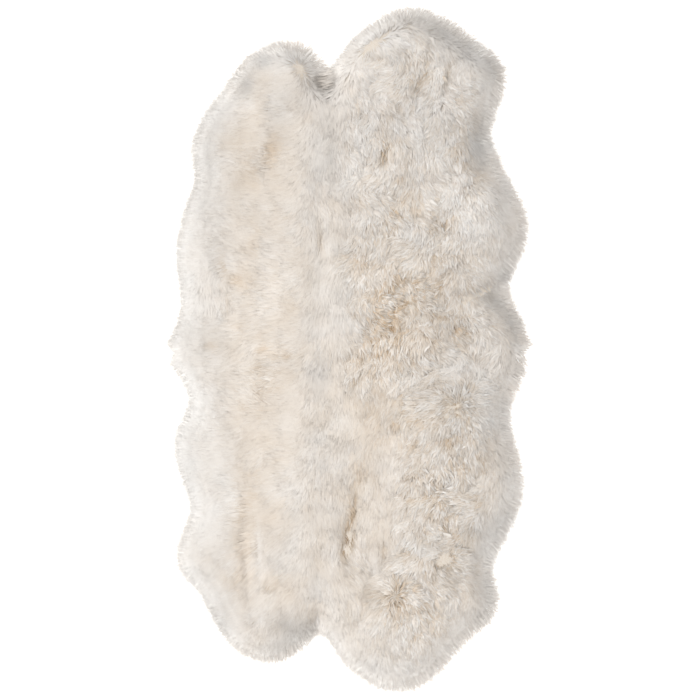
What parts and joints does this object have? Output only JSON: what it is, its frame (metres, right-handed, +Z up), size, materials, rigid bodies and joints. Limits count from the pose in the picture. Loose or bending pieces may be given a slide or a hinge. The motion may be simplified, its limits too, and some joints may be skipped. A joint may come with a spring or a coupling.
{
  "type": "sheepskin rug",
  "caption": "Long-wool sheepskin rug of pelts sewn side by side and end to end, with a deep ivory pile and a scalloped, feathery outline, lying flat",
  "frame": {"origin": "On the floor, midway along and across the whole rug, at the bottom centre of its bounding box", "axes": "+Z up from the floor through the pile; +Y along the rug, towards the end whose wider neck reaches furthest up the picture; +X across it, towards the wider column of pelts"},
  "size_m": [0.9364, 1.7968, 0.0668],
  "materials": {
    "wool": "soft matt ivory fleece with a faint sheen",
    "hide": "sueded tanned skin on the underside, matt",
    "thread": "matt sewing thread"
  },
  "bodies": {
    "root": {"pelt_upper_left": "wool", "pelt_upper_right": "wool", "pelt_lower_left": "wool", "pelt_lower_right": "wool"}
  },
  "joints": []
}
